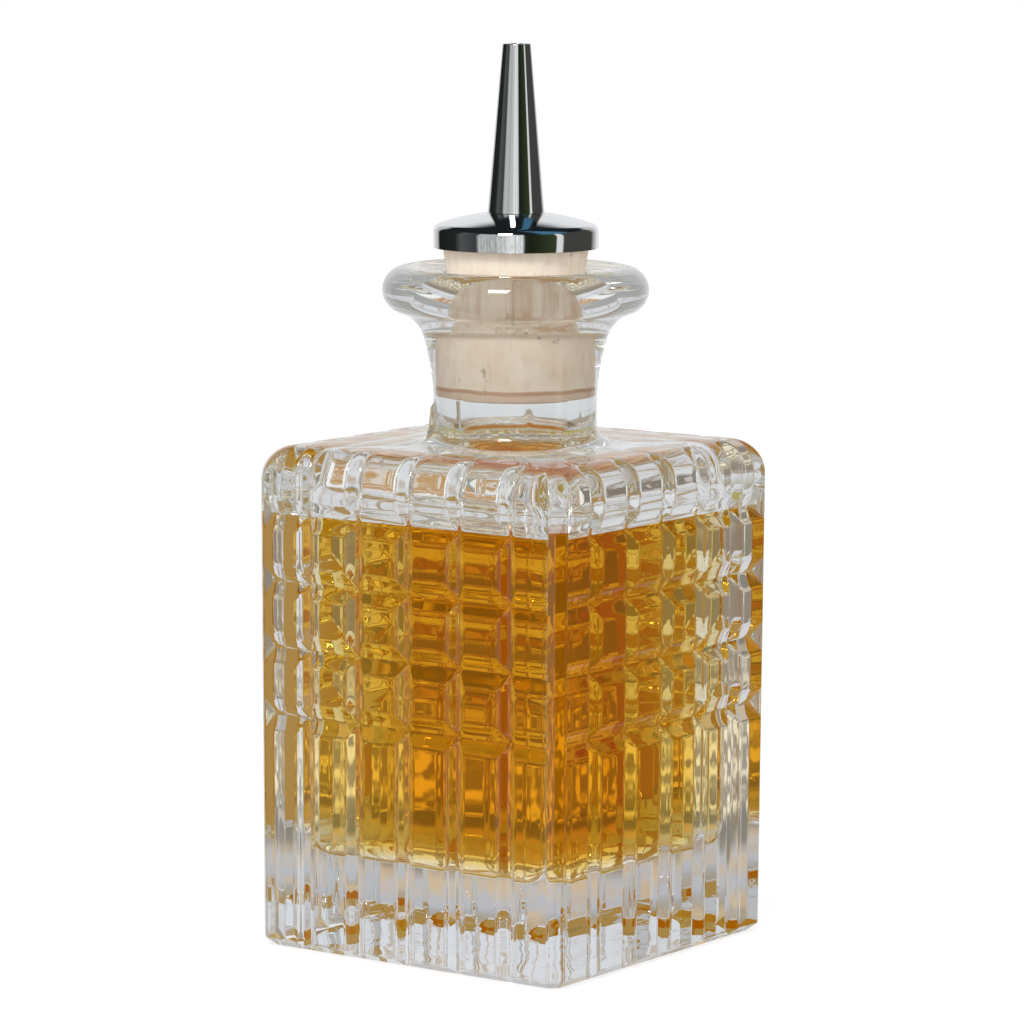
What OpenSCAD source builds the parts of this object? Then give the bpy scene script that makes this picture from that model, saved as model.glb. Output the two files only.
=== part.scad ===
// Square pressed-glass dash bottle with a tapered cork stopper and a chrome drip spout.
// Origin: centre of the base, on the surface that the bottle stands on. +Z is up,
// the front face looks along -Y and +X is on the right. Millimetres.

/* [Glass body] */
// Width of the square body across two opposite faces, at the shoulder
side = 53; // [51:0.5:56]
// Amount by which each face leans in towards the foot
draft = 0.3; // [0:0.1:0.5]
// Leg of the 45 degree chamfer on each upright corner
corner_leg = 1.7; // [1:0.1:2.4]
// Height of the shoulder above the base
shoulder_z = 71.8; // [71:0.2:72.6]
// Radius that rolls the side faces over into the shoulder
shoulder_r = 4.2; // [3:0.2:4.6]
// Height of the bevel round the foot
foot_h = 1.1; // [0.8:0.1:1.6]
// Amount by which the bevel leans in towards the base, so that it takes up the upright grooves
foot_in = 1.4; // [1.4:0.1:1.8]

/* [Cut pattern] */
// Upright grooves on each face
groove_cols = 5; // [3:2:5]
// Spacing of the upright grooves
col_pitch = 8.74; // [8:0.02:9]
// Level grooves round the body
groove_rows = 4; // [2:1:4]
// Height of the lowest level groove
row_base_z = 33.55; // [33:0.05:34]
// Spacing of the level grooves
row_pitch = 9.56; // [9.2:0.02:9.6]
// Half width of an upright groove at the surface
groove_half = 1.5; // [1:0.1:1.6]
// Half width of a level groove at the surface
row_half = 2.1; // [1.6:0.1:2.2]
// Depth of a groove
groove_depth = 1.4; // [1:0.1:1.6]
// Length over which a level groove runs out before the corner chamfer
row_run_out = 1.2; // [0.8:0.1:2]

/* [Cavity] */
// Inside width of the body
cavity_side = 40.8; // [38:0.2:42]
// Height of the cavity floor above the base
floor_z = 13.2; // [11:0.1:15]
// Height of the cavity's roof
roof_z = 68.2; // [67.5:0.1:68.7]
// Radius of the cavity's lower and upright edges
cavity_r = 3.5; // [3.5:0.5:5]

/* [Neck and lip] */
// Outer radius of the neck at its waist
waist_r = 11.6; // [11.2:0.1:12]
// Outer radius of the lip
lip_r = 18.93; // [18.5:0.01:19.5]
// Height of the lip's widest ring
lip_z = 93.45; // [93.25:0.05:93.65]
// Radius of the lip's round section
lip_round = 3.35; // [3.1:0.05:3.5]
// Radius of the neck's straight bore, which holds the cork
throat_r = 7.5; // [7.4:0.05:7.6]
// Height at which the straight bore ends
seat_top_z = 88.3; // [87.5:0.1:89]

/* [Cork] */
// Radius of the cork's upper end
cork_top_r = 10.65; // [10.5:0.05:10.7]
// Height of the cork's lower end at rest
cork_low_z = 78.15; // [77.95:0.05:78.35]
// Height of the cork's upper end at rest
cork_top_z = 101.65; // [101.45:0.05:101.85]
// Taper of the cork above the bore, as radius gained for each millimetre of height
cork_taper = 0.138; // [0.134:0.001:0.142]
// Gap all round between the squeezed cork and the neck
cork_gap = 0.1; // [0.06:0.02:0.16]

/* [Cap and spout] */
// Outer radius of the cap
cap_r = 11.75; // [11.7:0.05:12]
// Height of the lower edge of the cap's skirt
cap_low_z = 99.45; // [99:0.05:99.9]
// Height of the flat seat on top of the cap
cap_seat_z = 104.4; // [104.2:0.05:104.6]
// Radius of the spout at its foot
spout_foot_r = 4.05; // [4:0.05:4.2]
// Radius of the spout at its tip
spout_tip_r = 2.02; // [1.9:0.02:2.2]
// Height of the spout's tip
tip_z = 128.25; // [125:0.05:130]
// Radius of the spout's outlet
outlet_r = 1.05; // [0.8:0.05:1.2]

/* [Stem] */
// Outer radius of the stem where it passes through the cork
stem_r = 2.4; // [2.3:0.05:2.5]
// Radius of the stem's upper end, which screws into the spout
stem_end_r = 2; // [1.9:0.05:2.05]
// Radius of the stem's through hole
stem_bore_r = 1.3; // [1.1:0.05:1.3]
// Radius of the flange at the stem's lower end
flange_r = 4.6; // [4:0.1:5]

/* [Hidden] */
$fn = 96;

// A cutter runs this far past the surface that it opens
over = 1;
// Running gap between the turned pieces that slide into each other
slip = 0.05;

half = side / 2;
last_col = (groove_cols - 1) / 2;
// Half width of a groove where it leaves the outline, which is drawn past the faces
groove_out = groove_half * (groove_depth + over) / groove_depth;

// Half width of a flat face between its two corner chamfers, at the shoulder
face_half = half - corner_leg;
// Corner chamfer plane, measured from the axis
corner_reach = (side - corner_leg) / sqrt(2);
// The corners are rounded off more than the faces at the foot and at the shoulder
corner_foot_in = 1.6;
corner_roll = 5.2;

// Shoulder end of an upright groove, which tips over the rounded edge
tip_over_depth = 1.1;
tip_over_len = 9;

// Roll of the cavity's roof edges, larger than the floor's as in blown glass
roof_r = 5;

// Neck outline: fillet at the root, a long flare, then a tight one that runs into the lip
root_r = 2.8;
flare_z = 76.9;
flare_r = 34;
flare_tilt = 17;
lip_centre = [lip_r - lip_round, lip_z];
flare_end = [waist_r + flare_r * (1 - cos(flare_tilt)), flare_z + flare_r * sin(flare_tilt)];
flare_normal = [cos(flare_tilt), -sin(flare_tilt)];
flare_to_lip = lip_centre - flare_end;
under_r = (flare_to_lip * flare_to_lip - lip_round * lip_round)
    / (2 * (lip_round + flare_to_lip * flare_normal));
under_centre = flare_end + under_r * flare_normal;
under_to_lip = lip_centre - under_centre;
under_angle = atan2(under_to_lip[1], under_to_lip[0]);

// Mouth: the lip's top dips towards a rounded edge
mouth_r = 10.3;
mouth_round = 0.8;
mouth_drop = 0.9;
mouth_z = lip_z + lip_round - mouth_drop;
// The cork swells from the bore's size to its own over this height
swell_h = 1.2;

// Pieces of an arc in an outline
arc_steps = 10;

// Cap: turned disc with a recess for the cork, a rounded rim and a domed top with a flat land
recess_r = 10.95;
cap_edge_r = 1.2;
dome_r = 34;
seat_land_r = 4.3;
dome_centre_z = cap_seat_z - sqrt(dome_r * dome_r - seat_land_r * seat_land_r);
rim_centre_r = cap_r - cap_edge_r;
rim_lift = sqrt(pow(dome_r - cap_edge_r, 2) - rim_centre_r * rim_centre_r);
rim_angle = atan2(rim_lift, rim_centre_r);
land_angle = acos(seat_land_r / dome_r);
cap_hole_r = stem_r + slip;

// Spout socket for the stem's upper end
socket_depth = 7;
socket_lead = 0.4;

// Lower end of the stopper: washer, flange and insert, sunk into the cork until all is flush
washer_r = 5.6;
washer_t = 0.6;
flange_t = 1.2;
pocket_r = 1.9;
pocket_depth = 4;
insert_head_r = 2.7;
insert_head_t = 0.6;
dash_hole_r = 0.5;
slot_w = 0.9;
slot_depth = 0.5;

flange_low_z = cork_low_z + insert_head_t;
washer_low_z = flange_low_z + flange_t;
sink_depth = insert_head_t + flange_t + washer_t;

glass_tint = [0.86, 0.9, 0.9, 0.45];
cork_tint = [0.87, 0.75, 0.63];
chrome_tint = [0.78, 0.79, 0.8];
steel_tint = [0.62, 0.63, 0.65];
plastic_tint = [0.92, 0.92, 0.9];

// Points of an arc about centre c, from angle a to angle b
function arc(c, r, a, b) =
    [for (i = [0:arc_steps]) let (t = a + (b - a) * i / arc_steps) c + r * [cos(t), sin(t)]];

function cork_r_at(z) = cork_top_r - cork_taper * (cork_top_z - z);
function spout_r_at(z) =
    spout_foot_r + (spout_tip_r - spout_foot_r) * (z - cap_seat_z) / (tip_z - cap_seat_z);

// One face of the ribbed outline with its upright V grooves, drawn past the body's own faces
function face_points() = concat(
    [[-half - over, -half - over]],
    [for (i = [-last_col:last_col], k = [-1:1])
        [i * col_pitch + k * groove_out, -half + (k == 0 ? groove_depth : -over)]]);

function turned(p, a) = [p[0] * cos(a) - p[1] * sin(a), p[0] * sin(a) + p[1] * cos(a)];

module ribbed_outline() {
    polygon([for (q = [0:3], p = face_points()) turned(p, 90 * q)]);
}

// Slab between two opposite sides of the body: bevelled foot, drafted sides, rolled shoulder
module body_slab(reach, lean, foot, roll) {
    low = reach - lean;
    rotate([90, 0, 0]) linear_extrude(2 * side, center = true) polygon(concat(
        [[foot - low, 0], [low - foot, 0], [low, foot_h]],
        arc([reach - roll, shoulder_z - roll], roll, 0, 90),
        arc([roll - reach, shoulder_z - roll], roll, 90, 180),
        [[-low, foot_h]]));
}

module plain_body() {
    intersection_for (q = [0, 1]) intersection() {
        rotate(90 * q) body_slab(half, draft, foot_in, shoulder_r);
        rotate(90 * q + 45) body_slab(corner_reach, draft * sqrt(2), corner_foot_in, corner_roll);
    }
}

// Triangular bar along X whose edge lies at the origin and which opens towards -Y
module v_bar(len, spread, depth) {
    reach = depth + over;
    wide = spread * reach / depth;
    rotate([90, 0, 90]) linear_extrude(len, center = true)
        polygon([[0, 0], [-reach, wide], [-reach, -wide]]);
}

// Level groove across one face, which slopes up to the surface before it meets the chamfers
module level_groove(z) {
    inner = face_half - row_run_out;
    outer = face_half + row_run_out * over / groove_depth;
    translate([0, -half, z]) intersection() {
        translate([0, groove_depth, 0]) v_bar(side, row_half, groove_depth);
        linear_extrude(4 * row_half, center = true) polygon([
            [-inner, groove_depth], [-outer, -over], [outer, -over], [inner, groove_depth]]);
    }
}

// Upper ends of the upright grooves, tipped 45 degrees over the shoulder edge
module shoulder_notches() {
    roll = shoulder_r * (1 - 1 / sqrt(2));
    for (q = [0:3], i = [-last_col:last_col])
        rotate(90 * q) translate([i * col_pitch, -half + roll, shoulder_z - roll]) rotate([-45, 0, 0])
            translate([0, tip_over_depth, 0]) rotate([0, 90, 0])
                v_bar(tip_over_len, groove_half, tip_over_depth);
}

module cut_body() {
    difference() {
        intersection() {
            translate([0, 0, -over]) linear_extrude(shoulder_z + 2 * over) ribbed_outline();
            plain_body();
        }
        for (q = [0:3], j = [0:groove_rows - 1])
            rotate(90 * q) level_groove(row_base_z + j * row_pitch);
        shoulder_notches();
    }
}

// The neck's outside, from the root fillet to the mouth, as one turned outline
module neck() {
    rotate_extrude() polygon(concat(
        [[0, shoulder_z - over], [waist_r + root_r, shoulder_z - over]],
        arc([waist_r + root_r, shoulder_z + root_r], root_r, 270, 180),
        arc([waist_r + flare_r, flare_z], flare_r, 180, 180 - flare_tilt),
        arc(under_centre, under_r, 180 - flare_tilt, under_angle),
        arc(lip_centre, lip_round, under_angle - 180, 90),
        arc([mouth_r + mouth_round, mouth_z - mouth_round], mouth_round, 90, 180),
        [[0, mouth_z - mouth_round]]));
}

// Space inside the neck: a straight bore that opens into the mouth
module neck_space() {
    rotate_extrude() polygon([
        [0, roof_z - roof_r], [throat_r, roof_z - roof_r], [throat_r, seat_top_z],
        [cork_r_at(seat_top_z + swell_h) + cork_gap, seat_top_z + swell_h],
        [mouth_r, mouth_z - mouth_round], [mouth_r, lip_z + lip_round + over],
        [0, lip_z + lip_round + over]]);
}

module cavity() {
    low = cavity_side / 2 - cavity_r;
    high = cavity_side / 2 - roof_r;
    hull() for (x = [-1, 1], y = [-1, 1]) {
        translate([x * low, y * low, floor_z + cavity_r]) sphere(cavity_r, $fn = 32);
        translate([x * high, y * high, roof_z - roof_r]) sphere(roof_r, $fn = 32);
    }
}

module glass_bottle() {
    color(glass_tint) difference() {
        union() {
            cut_body();
            neck();
        }
        cavity();
        neck_space();
    }
}

// Tapered cork whose lower part is squeezed to the size of the bore
module cork_stopper() {
    squeezed_r = throat_r - cork_gap;
    color(cork_tint) difference() {
        rotate_extrude() polygon([
            [0, cork_low_z], [squeezed_r, cork_low_z], [squeezed_r, seat_top_z],
            [cork_r_at(seat_top_z + swell_h), seat_top_z + swell_h],
            [cork_top_r, cork_top_z], [0, cork_top_z]]);
        translate([0, 0, cork_low_z - over])
            cylinder(h = cork_top_z - cork_low_z + 2 * over, r = stem_r + slip);
        translate([0, 0, cork_low_z - over]) cylinder(h = sink_depth + over, r = washer_r + slip);
    }
}

// Domed disc with a plain skirt and a flat seat for the spout
module cap() {
    color(chrome_tint) difference() {
        rotate_extrude() polygon(concat(
            [[0, cap_low_z], [cap_r, cap_low_z]],
            arc([rim_centre_r, dome_centre_z + rim_lift], cap_edge_r, 0, rim_angle),
            arc([0, dome_centre_z], dome_r, rim_angle, land_angle),
            [[0, cap_seat_z]]));
        translate([0, 0, cap_low_z - over]) cylinder(h = cork_top_z - cap_low_z + over, r = recess_r);
        translate([0, 0, cork_top_z - over])
            cylinder(h = cap_seat_z - cork_top_z + 2 * over, r = cap_hole_r);
    }
}

module spout() {
    color(chrome_tint) difference() {
        translate([0, 0, cap_seat_z])
            cylinder(h = tip_z - cap_seat_z, r1 = spout_foot_r, r2 = spout_tip_r);
        translate([0, 0, cap_seat_z - over]) cylinder(h = tip_z - cap_seat_z + 2 * over, r = outlet_r);
        translate([0, 0, cap_seat_z - over])
            cylinder(h = socket_depth + socket_lead + over, r = stem_end_r + slip);
    }
}

// Hollow screw that draws the cork, cap and spout together
module stem_tube() {
    color(steel_tint) difference() {
        union() {
            translate([0, 0, flange_low_z]) cylinder(h = flange_t, r = flange_r);
            translate([0, 0, washer_low_z]) cylinder(h = cap_seat_z - washer_low_z - slip, r = stem_r);
            translate([0, 0, cap_seat_z - over]) cylinder(h = socket_depth + over, r = stem_end_r);
        }
        translate([0, 0, flange_low_z - over])
            cylinder(h = cap_seat_z + socket_depth - flange_low_z + 2 * over, r = stem_bore_r);
        translate([0, 0, flange_low_z - over]) cylinder(h = pocket_depth + over, r = pocket_r);
        translate([-flange_r - over, -slot_w / 2, flange_low_z - over])
            cube([2 * flange_r + 2 * over, slot_w, slot_depth + over]);
    }
}

module clamp_washer() {
    color(steel_tint) translate([0, 0, washer_low_z]) difference() {
        cylinder(h = washer_t, r = washer_r);
        translate([0, 0, -over]) cylinder(h = washer_t + 2 * over, r = stem_r + slip);
    }
}

// Plastic plug in the foot of the stem, whose small hole lets out a dash at a time
module dash_insert() {
    color(plastic_tint) difference() {
        union() {
            translate([0, 0, flange_low_z - insert_head_t])
                cylinder(h = insert_head_t, r = insert_head_r);
            translate([0, 0, flange_low_z - over / 2])
                cylinder(h = pocket_depth - slip + over / 2, r = pocket_r - slip);
        }
        translate([0, 0, flange_low_z - insert_head_t - over])
            cylinder(h = pocket_depth + insert_head_t + 2 * over, r = dash_hole_r);
    }
}

glass_bottle();
cork_stopper();
cap();
spout();
stem_tube();
clamp_washer();
dash_insert();
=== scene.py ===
import math
import random

import bmesh
import bpy
from mathutils import Matrix, Vector, noise


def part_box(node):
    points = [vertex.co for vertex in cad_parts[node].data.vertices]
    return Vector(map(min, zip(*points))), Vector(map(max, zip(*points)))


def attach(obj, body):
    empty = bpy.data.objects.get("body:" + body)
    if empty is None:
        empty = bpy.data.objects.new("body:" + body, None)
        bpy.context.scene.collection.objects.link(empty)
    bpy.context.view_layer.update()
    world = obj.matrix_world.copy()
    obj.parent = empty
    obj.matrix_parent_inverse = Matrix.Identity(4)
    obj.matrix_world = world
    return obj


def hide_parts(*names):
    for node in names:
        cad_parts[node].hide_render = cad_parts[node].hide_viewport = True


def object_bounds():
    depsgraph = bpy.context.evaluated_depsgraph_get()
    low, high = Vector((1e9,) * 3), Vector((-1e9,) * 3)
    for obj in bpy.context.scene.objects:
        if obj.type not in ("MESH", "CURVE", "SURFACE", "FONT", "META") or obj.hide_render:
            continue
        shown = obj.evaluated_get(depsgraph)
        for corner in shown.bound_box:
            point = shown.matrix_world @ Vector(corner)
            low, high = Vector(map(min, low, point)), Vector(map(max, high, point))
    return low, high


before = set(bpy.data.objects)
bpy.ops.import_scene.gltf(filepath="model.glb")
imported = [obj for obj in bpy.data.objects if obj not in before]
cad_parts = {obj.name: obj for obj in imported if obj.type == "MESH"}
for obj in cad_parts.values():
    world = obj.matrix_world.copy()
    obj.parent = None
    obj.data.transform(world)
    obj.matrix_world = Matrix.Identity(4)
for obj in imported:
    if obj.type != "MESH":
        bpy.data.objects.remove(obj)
cad_low, cad_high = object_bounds()

# Lengths below are in millimetres unless said. Every mesh is brought to metres when it is finished.
MM = 0.001

# Points closer together than this are one, and the faces of the body meet within the second
SAME_PLACE = 0.0001
PANEL_SEAM = 0.002

# Glass body
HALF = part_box("glass_bottle")[1].x / MM
CORNER_LEG = 1.7
CORNER_REACH = (2 * HALF - CORNER_LEG) / math.sqrt(2)
EDGE_ROUND = 0.25
DRAFT = 0.3
SHOULDER_Z = 71.8
SHOULDER_ROLL = 4.2
CORNER_ROLL = 5.2
FOOT_BAND = 1.1
FOOT_LEAN = 1.4
CORNER_FOOT_LEAN = 1.6
BASE_HALF = HALF - DRAFT - FOOT_LEAN
BASE_RIM = 2.5
BASE_SLOPE = 10.0
BASE_HOLLOW = 0.4
BASE_WAVE = 0.12
BASE_WAVE_LENGTH = 5.0
BASE_RINGS = 20
NARROWEST_CHAMFER = 0.5
MOST_EDGE_SHARE = 0.7

# Cut pattern
GROOVE_COLS = 5
COL_PITCH = 8.74
GROOVE_ROWS = 4
ROW_BASE_Z = 33.55
ROW_PITCH = 9.56
GROOVE_HALF = 1.5
ROW_HALF = 2.1
GROOVE_DEPTH = 1.4
ROW_RUN_OUT = 1.2
RIDGE_SOFTNESS = 0.06
VALLEY_SOFTNESS = 0.06
HIP_POWER = 12
COLUMN_FADE = 0.6

# Mesh lines along a groove, as shares of its half width, so that the hips at a crossing lie on the mesh.
# The others are shares of a tile, of the strip beside the corner, and heights or turns up the body.
GROOVE_LINES = (0.1, 0.35, 0.7, 0.93, 1.07, 1.3)
TILE_LINES = (0.32, 0.5, 0.68)
EDGE_LINES = (0.35, 0.7)
RIB_LEVELS = (3, 5, 8, 11, 14, 17, 20, 23, 26, 28.5, 30)
TOP_LEVELS = (65.0, 66.2, SHOULDER_Z - SHOULDER_ROLL - 0.4)
SHOULDER_TURNS = (0, 7, 14, 22, 30, 38, 46, 54, 62, 70, 78, 85, 90)

# Slight unevenness of pressed glass
WALL_WAVE = 0.1
WALL_WAVE_LENGTH = 10.0
SURFACE_WAVE = 0.012
SURFACE_WAVE_LENGTH = 8.0

# Inside of the glass
CAVITY_HALF = 20.4
CAVITY_ROUND = 3.5
FLOOR_Z = 13.2
ROOF_Z = 68.2
ROOF_ROUND = 5.0
THROAT_R = 7.5
THROAT_ROUND = 1.2
ROOF_REACH = 2.5
LEAST_CORNER = 0.35
CORNER_SHRINK = 0.9
FLOOR_SHARES = (0.02, 0.25, 0.5, 0.75, 0.92)
BOX_POWER = 6

# Neck, lip and mouth
WAIST_R = 11.6
ROOT_ROUND = 2.6
FLARE_Z = 76.9
FLARE_R = 34.0
FLARE_TILT = math.radians(17)
LIP_R = 18.93
LIP_Z = 93.5
LIP_ROUND = 3.3
MOUTH_R = 10.3
MOUTH_ROUND = 0.8
MOUTH_DROP = 0.9
SEAT_TOP_Z = 88.3
SWELL = 1.2
MOUTH_GAP_POWER = 2.2
FIN_ANGLE = math.radians(225)
FIN_HEIGHT = 0.8
FAINT_FIN = 0.12
FIN_WIDTH = 3.0
FIN_TOP_Z = 77.0
FIN_FADE = 0.12
FIN_RISE = 1.5
THROAT_LEVELS = (71.0, 73.0, 75.0, 76.5)
SEAT_LEVELS = (80.0, 82.0, 84.0, 86.0, 87.5)
MOUTH_SHARES = (0.15, 0.35, 0.55, 0.72, 0.85, 0.94)

# Cork
CORK_TOP_R = 10.65
CORK_LOW_Z = 78.15
CORK_TOP_Z = 101.65
CORK_TAPER = 0.138
CORK_GAP = 0.1
CORK_SQUEEZE = 0.03
CORK_BORE_R = 2.45
CORK_EDGE = 0.3
CORK_MID_R = 5.0
CORK_MID_Z = 90.0
CORK_INSIDE_R = 6.5
CORK_WAVE = 0.02
CORK_WAVE_SCALE = 1.3
CORK_PORES = 90
PORE_SIZE = (0.18, 0.42)
PORE_DEPTH = (0.08, 0.28)
CORK_SEED = 7

# Cap and spout
CAP_R = 11.75
CAP_LOW_Z = 99.45
CAP_SEAT_Z = 104.4
CAP_EDGE = 1.2
DOME_R = 34.0
SEAT_LAND_R = 4.3
RECESS_R = 10.95
SPOUT_FOOT_R = 4.05
SPOUT_TIP_R = 2.02
TIP_Z = 128.25
OUTLET_R = 1.05
SOCKET_DEPTH = 7.0
BROKEN_EDGE = 0.12

# Stem, washer and insert
STEM_R = 2.4
STEM_END_R = 2.0
STEM_BORE_R = 1.3
FLANGE_R = 4.6
FLANGE_T = 1.2
SLIP = 0.05
END_GAP = 0.4
STEP_GAP = 0.1
TOOL_PITCH = 0.16
WASHER_R = 5.6
WASHER_T = 0.6
POCKET_R = 1.9
POCKET_DEPTH = 4.0
SLOT_W = 0.9
SLOT_DEPTH = 0.5
INSERT_HEAD_R = 2.7
INSERT_HEAD_T = 0.6
INSERT_EDGE = 0.2
DASH_HOLE_R = 0.5
FLANGE_LOW_Z = CORK_LOW_Z + INSERT_HEAD_T
WASHER_LOW_Z = FLANGE_LOW_Z + FLANGE_T
SINK_TOP_Z = WASHER_LOW_Z + WASHER_T
SINK_R = WASHER_R + SLIP

# Liquid
LIQUID_Z = 62.05
LIQUID_CLEAR = 0.03
MENISCUS = 0.6
MENISCUS_REACH = 0.8
MENISCUS_STEPS = (0.12, 0.3, 0.6, 1.0, 1.6, 2.4, 3.6)
SURFACE_SHARES = (0.6, 0.3, 0.1, 0.02)
CONTACT_Z = LIQUID_Z + MENISCUS

# Rings of the inner wall have this many points along a straight side and round a corner, for each quarter
QUARTER_STRAIGHT = 12
QUARTER_CORNER = 8
WALL_STEPS = 20

# Light bends by these amounts, and the liquid's colour builds up with depth, in metres
GLASS_IOR = 1.5
LIQUID_IOR = 1.36
AMBER = (0.967, 0.78, 0.0, 1)
AMBER_DENSITY = 102.3

# Light that has been thrown about inside the glass this often ends in a painted glow, the rough mean colour
# of what it would meet. Along the liquid's walls, above the cavity's floor, that comes sooner. The stops go
# by height, as shares of
# LOST_HEIGHT, in metres. Each stop of every such list is its place, red, green and blue.
MOST_MIRRORED = 3.5
MOST_MIRRORED_WET = 1.5
WET_WALL = (14.5, 15.0)
MOST_BENT = 11.5
MOST_CLEAR = 7.5
LOST_STOPS = [
    (0.0, 0.54, 0.54, 0.57),
    (0.13, 0.44, 0.41, 0.38),
    (0.17, 0.34, 0.22, 0.07),
    (0.61, 0.34, 0.22, 0.07),
    (0.65, 0.44, 0.38, 0.31),
    (0.7, 0.56, 0.55, 0.53),
    (0.76, 0.52, 0.51, 0.5),
    (0.85, 0.42, 0.41, 0.4),
]
# Painted glows for light given up at the liquid's walls and inside the liquid
LOST_AT_LIQUID = (0.42, 0.25, 0.07, 1)
LOST_IN_LIQUID = (0.46, 0.4, 0.12, 1)
LOST_HEIGHT = 0.1

# Colours
WHITE = (1, 1, 1, 1)
GLASS_TINT = (0.985, 0.992, 0.99, 1)
CORK_PALE = (0.93, 0.81, 0.66, 1)
CORK_WARM = (0.88, 0.71, 0.54, 1)
CORK_BROWN = (0.66, 0.46, 0.30, 1)
CORK_FLECK = (0.30, 0.16, 0.08, 1)
CORK_DAMP = (0.56, 0.33, 0.19, 1)
CORK_DARK_BLOTCH = (0.64, 0.4, 0.23, 1)
CHROME = (0.80, 0.81, 0.82, 1)
CHROME_DULL = (0.70, 0.71, 0.72, 1)
STEEL = (0.60, 0.60, 0.61, 1)
STEEL_DARK = (0.50, 0.50, 0.51, 1)
PLASTIC = (0.86, 0.86, 0.84, 1)
PLASTIC_WARM = (0.80, 0.79, 0.75, 1)

# Camera, found from the photograph's perspective: degrees, metres and millimetres of lens
CAMERA_AZIMUTH = math.radians(35.568)
CAMERA_ELEVATION = math.radians(7.519)
CAMERA_ROLL = math.radians(0.246)
CAMERA_AWAY = 0.7388
CAMERA_LENS = 182.14
CAMERA_AIM = Vector((-0.00038, 0, 0.06164))

# Studio. TOWARDS and RIGHTWARDS are as the photograph's camera sees them. Chrome sees ROOM_STOPS by turn, all
# the way round, and glass sees THROUGH_STOPS by rise, from straight down to straight up, each laid out from 0
# to 1. The floor is in metres, and glass sees FLOOR_SHADOW_AND_GLOW_STOPS on it by distance from the bottle,
# with the bottle's shadow painted on it as a darker ring.
TOWARDS = Vector((math.sin(CAMERA_AZIMUTH), -math.cos(CAMERA_AZIMUTH), 0))
RIGHTWARDS = Vector((math.cos(CAMERA_AZIMUTH), math.sin(CAMERA_AZIMUTH), 0))
SOFT_LIGHT = (1.1, 1.11, 1.15, 1)
SHEET = (0.86, 0.87, 0.89, 1)
CEILING = (0.012, 0.015, 0.018, 1)
CEILING_BLUE = (0.07, 0.19, 0.3, 1)
ROOM_STOPS = [
    (0.11, 0.6, 0.6, 0.6),
    (0.13, 0.012, 0.015, 0.012),
    (0.24, 0.02, 0.022, 0.02),
    (0.27, 0.09, 0.1, 0.1),
    (0.34, 0.05, 0.055, 0.055),
    (0.56, 0.014, 0.018, 0.01),
    (0.65, 0.035, 0.05, 0.02),
    (0.70, 0.06, 0.06, 0.055),
    (0.86, 0.06, 0.06, 0.055),
    (0.90, 0.6, 0.6, 0.6),
]
THROUGH_STOPS = [
    (0.0, 0.44, 0.43, 0.43),
    (0.3, 0.25, 0.245, 0.245),
    (0.44, 0.31, 0.3, 0.3),
    (0.49, 0.5, 0.5, 0.52),
    (0.53, 0.74, 0.76, 0.81),
    (0.6, 0.74, 0.75, 0.8),
    (0.615, 0.78, 0.79, 0.82),
    (0.66, 0.78, 0.78, 0.8),
    (0.672, 0.24, 0.2, 0.17),
    (0.7, 0.24, 0.2, 0.17),
    (0.71, 1.0, 1.0, 1.0),
    (0.768, 1.0, 1.0, 1.0),
    (0.778, 0.55, 0.32, 0.14),
    (0.84, 0.55, 0.32, 0.14),
    (0.87, 0.42, 0.42, 0.44),
]
THROUGH_FRONT = (0.3, 0.3, 0.31, 1)
THROUGH_WARM = (0.46, 0.31, 0.18, 1)
THROUGH_PALE = (0.84, 0.82, 0.8, 1)
FLOOR_R = 4.0
FLOOR_DROP = 0.00002
FLOOR_GLOW = (0.74, 0.74, 0.74, 1)
FLOOR_PALE = (0.27, 0.27, 0.27, 1)
FLOOR_BOUNCE = (0.8, 0.8, 0.8, 1)
FLOOR_SHADOW_AND_GLOW_STOPS = [
    (0.033, 0.38, 0.33, 0.26),
    (0.038, 0.5, 0.51, 0.56),
    (0.058, 0.54, 0.53, 0.54),
    # Out to 0.104 the floor is darker: the bottle's shadow, painted in
    (0.068, 0.26, 0.235, 0.2),
    (0.104, 0.26, 0.235, 0.2),
    (0.125, 0.38, 0.335, 0.27),
    (0.19, 0.37, 0.325, 0.26),
    (0.24, 0.32, 0.275, 0.215),
    (0.44, 0.28, 0.235, 0.18),
    (0.47, 0.4, 0.34, 0.27),
    (0.53, 0.4, 0.34, 0.27),
    (0.56, 0.72, 0.73, 0.75),
]
# Painted caustic light on the floor that glass sees: warm patches near the bottle, glints further out
FLOOR_CAUSTIC_WARM = (0.7, 0.5, 0.28, 1)
FLOOR_GLINT = (1.0, 0.9, 0.66, 1)

# Where things lie in the surroundings, in degrees of turn to the right of the camera or of rise. A pair is a
# soft change from its first value to its second, and two pairs are where a thing starts and where it ends.
WINDOW_TURN = ((-58, -52), (9, 13))
WINDOW_BRIGHTER = (-30, -4)
STRIP_TURN = ((58, 60), (68, 71))
WINDOW_RISE = ((-40, -30), (28, 36))
BLUE_TURN = ((30, 50), (80, 100))
CEILING_RISE = (30, 38)
WARM_RISE = ((2, 5), (22, 28))
MOTTLED_RISE = (28, 32)

# The same for how far a direction points towards the camera, from -1 to 1
SHEET_BEHIND = (-0.83, -0.9)
DIM_IN_FRONT = (-0.35, 0.5)

# Distances from the bottle on the floor, in metres: where the painted warm caustic patches end, and where the
# painted glints lie
CAUSTIC_FLOOR_END = (0.06, 0.08)
GLINT_FLOOR = ((0.08, 0.1), (0.18, 0.3))

# Heights on the cork, in millimetres above its foot or above the top of its seat
DAMP_FROM_FOOT = 0.4
DAMP_DARKER = (1.0, 1.3)
DAMP_END = (1.6, 1.9)
DARK_BAND_HEIGHTS = ((0.2, 0.8), (4.6, 6.4))


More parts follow.
